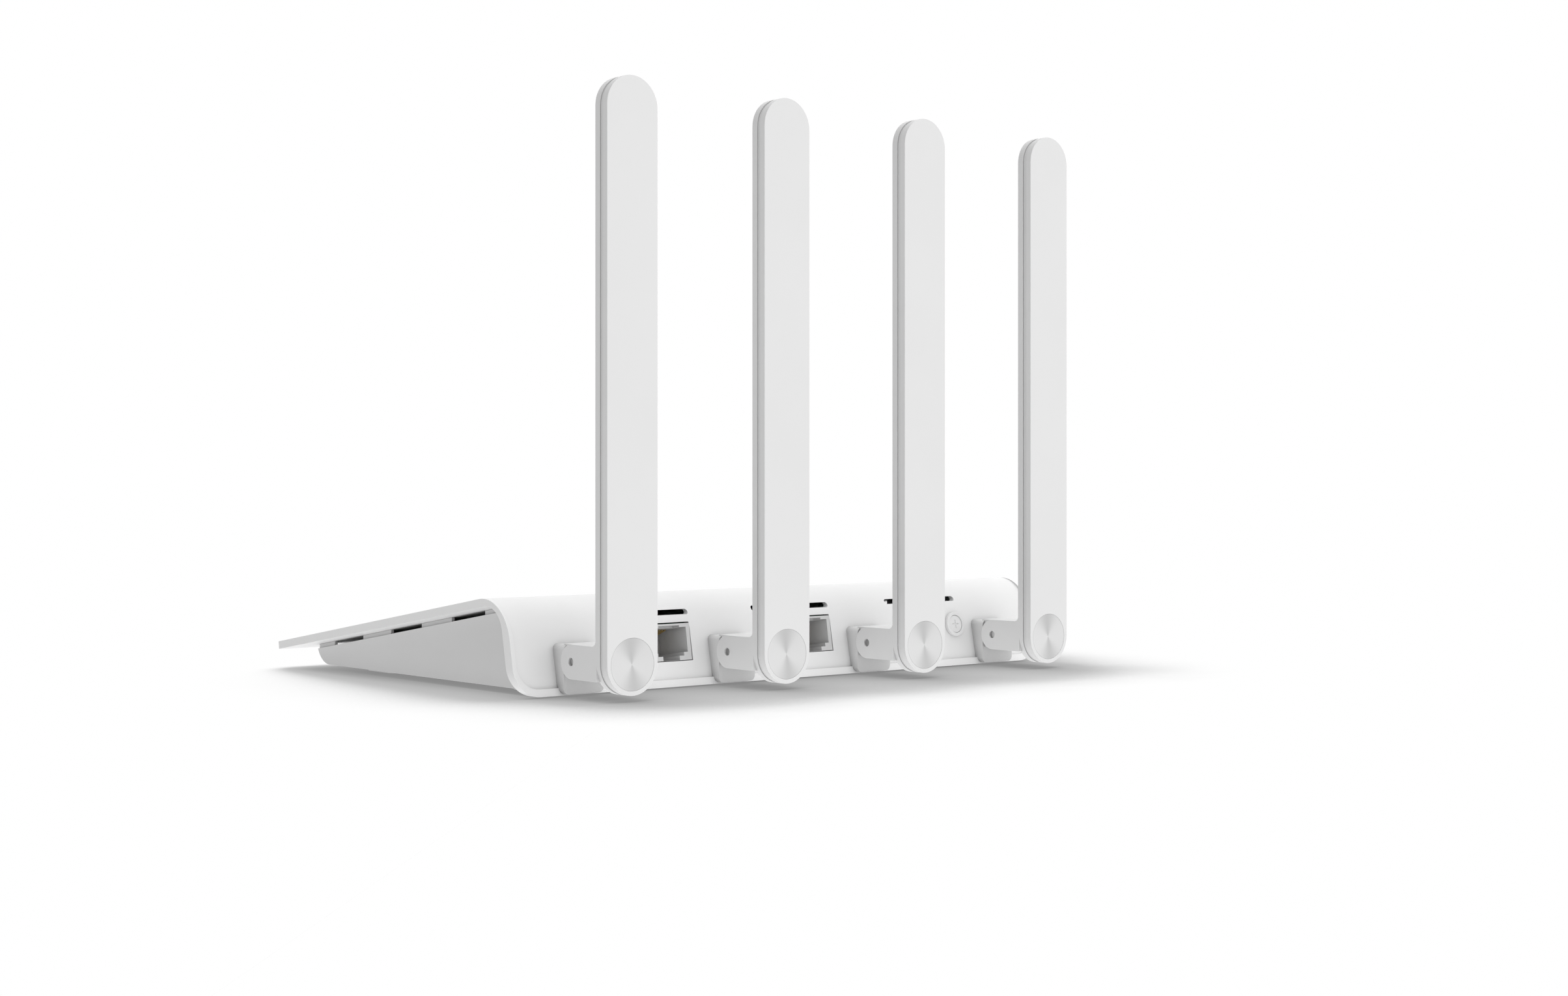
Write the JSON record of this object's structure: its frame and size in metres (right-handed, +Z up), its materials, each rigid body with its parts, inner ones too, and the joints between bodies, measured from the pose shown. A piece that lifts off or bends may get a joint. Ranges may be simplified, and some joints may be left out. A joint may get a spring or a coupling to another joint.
{
  "type": "wifi range extender",
  "caption": "Desktop wireless range extender: bent white cover on a wedge tray, paddle antennas on folding hinges, network sockets, power inlet and pairing button at the rear.",
  "frame": {"origin": "centre of the bounding box's bottom face, on the table under the feet", "axes": "+X along the row of antennas, +Y to the rear where the antennas and sockets are, +Z up"},
  "size_m": [0.198, 0.1552, 0.162],
  "materials": {
    "cover_plastic": "fine satin moulding",
    "tray_plastic": "fine matte texture",
    "hinge_plastic": "fine satin moulding",
    "antenna_plastic": "satin",
    "antenna_disc": "fine concentric rings",
    "button_plastic": "satin",
    "feet_rubber": "matte",
    "socket_plastic": "moulded",
    "gold_contacts": "plated",
    "board": "solder mask",
    "chip_plastic": "moulded",
    "inlet_plastic": "moulded",
    "steel": "nickel plated",
    "shield_metal": "tinned sheet",
    "heat_metal": "sheet",
    "pad_rubber": "soft pad",
    "capacitor_metal": "sleeved can",
    "lead_jacket": "smooth jacket"
  },
  "bodies": {
    "case": {"top_cover": "cover_plastic", "bottom_tray": "tray_plastic", "rubber_feet": "feet_rubber", "main_board": "board", "lan_socket_1": "socket_plastic", "lan_socket_2": "socket_plastic", "lan_contacts": "gold_contacts", "lan_transformers": "chip_plastic", "power_inlet": "inlet_plastic", "power_inlet_pin": "steel", "processor": "chip_plastic", "memory_chips": "chip_plastic", "radio_shields": "shield_metal", "thermal_pad": "pad_rubber", "heat_spreader": "heat_metal", "capacitors": "capacitor_metal", "power_choke": "chip_plastic", "button_bezel": "button_plastic", "tact_switch": "chip_plastic", "board_screws": "steel", "case_screws": "steel", "hinge_screws": "steel", "coax_sockets": "gold_contacts", "coax_leads": "lead_jacket", "hinge_base_1": "hinge_plastic", "hinge_base_2": "hinge_plastic", "hinge_base_3": "hinge_plastic", "hinge_base_4": "hinge_plastic"},
    "button": {"pairing_button": "button_plastic"},
    "antenna_1": {"antenna_back_1": "antenna_plastic", "antenna_front_1": "antenna_plastic", "antenna_disc_1": "antenna_disc", "aerial_board_1": "board", "aerial_lead_1": "lead_jacket", "hinge_pin_1": "steel"},
    "antenna_2": {"antenna_back_2": "antenna_plastic", "antenna_front_2": "antenna_plastic", "antenna_disc_2": "antenna_disc", "aerial_board_2": "board", "aerial_lead_2": "lead_jacket", "hinge_pin_2": "steel"},
    "antenna_3": {"antenna_back_3": "antenna_plastic", "antenna_front_3": "antenna_plastic", "antenna_disc_3": "antenna_disc", "aerial_board_3": "board", "aerial_lead_3": "lead_jacket", "hinge_pin_3": "steel"},
    "antenna_4": {"antenna_back_4": "antenna_plastic", "antenna_front_4": "antenna_plastic", "antenna_disc_4": "antenna_disc", "aerial_board_4": "board", "aerial_lead_4": "lead_jacket", "hinge_pin_4": "steel"}
  },
  "joints": [
    {"name": "button_press", "type": "slide", "parent": "case", "child": "button", "axis": [0, -0.9816, -0.1908], "range_m": [0, 0.0005], "stiffness_N_per_m": 900, "springref_m": -0.0008},
    {"name": "antenna_1_fold", "type": "hinge", "parent": "case", "child": "antenna_1", "pos_m": [0.07875, 0.0614, 0.0099], "axis": [1, 0, 0], "range_deg": [0, 75]},
    {"name": "antenna_2_fold", "type": "hinge", "parent": "case", "child": "antenna_2", "pos_m": [0.02625, 0.0614, 0.0099], "axis": [1, 0, 0], "range_deg": [0, 75]},
    {"name": "antenna_3_fold", "type": "hinge", "parent": "case", "child": "antenna_3", "pos_m": [-0.02625, 0.0614, 0.0099], "axis": [1, 0, 0], "range_deg": [0, 75]},
    {"name": "antenna_4_fold", "type": "hinge", "parent": "case", "child": "antenna_4", "pos_m": [-0.07875, 0.0614, 0.0099], "axis": [1, 0, 0], "range_deg": [0, 75]}
  ]
}
